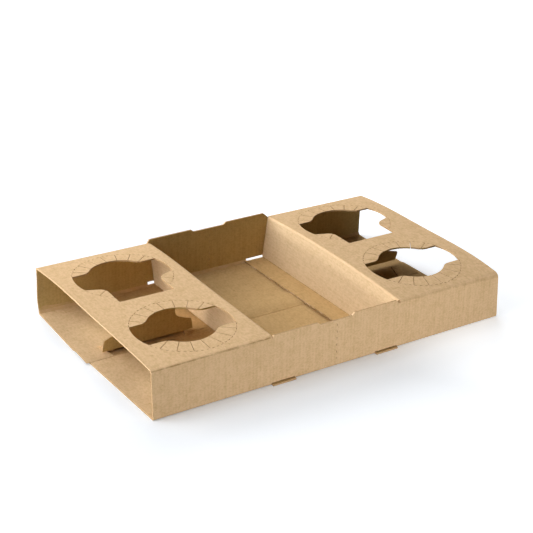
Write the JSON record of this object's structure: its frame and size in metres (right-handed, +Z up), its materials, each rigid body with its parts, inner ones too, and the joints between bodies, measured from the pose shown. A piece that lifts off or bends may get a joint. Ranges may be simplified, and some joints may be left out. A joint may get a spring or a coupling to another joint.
{
  "type": "cardboard cup carrier",
  "caption": "Folded kraft cardboard cup carrier: a flat open-ended sleeve with petalled cup holes, hanging dividers and an open well in the middle.",
  "frame": {"origin": "middle of the bounding box on the plane of the base", "axes": "+X along the long side, towards the end with the swung divider; +Y to the back; +Z up"},
  "size_m": [0.3646, 0.216, 0.0492],
  "materials": {
    "kraft_board": "matt brown kraft with faint flute lines"
  },
  "bodies": {
    "root": {"cup_carrier": "kraft_board"}
  },
  "joints": []
}
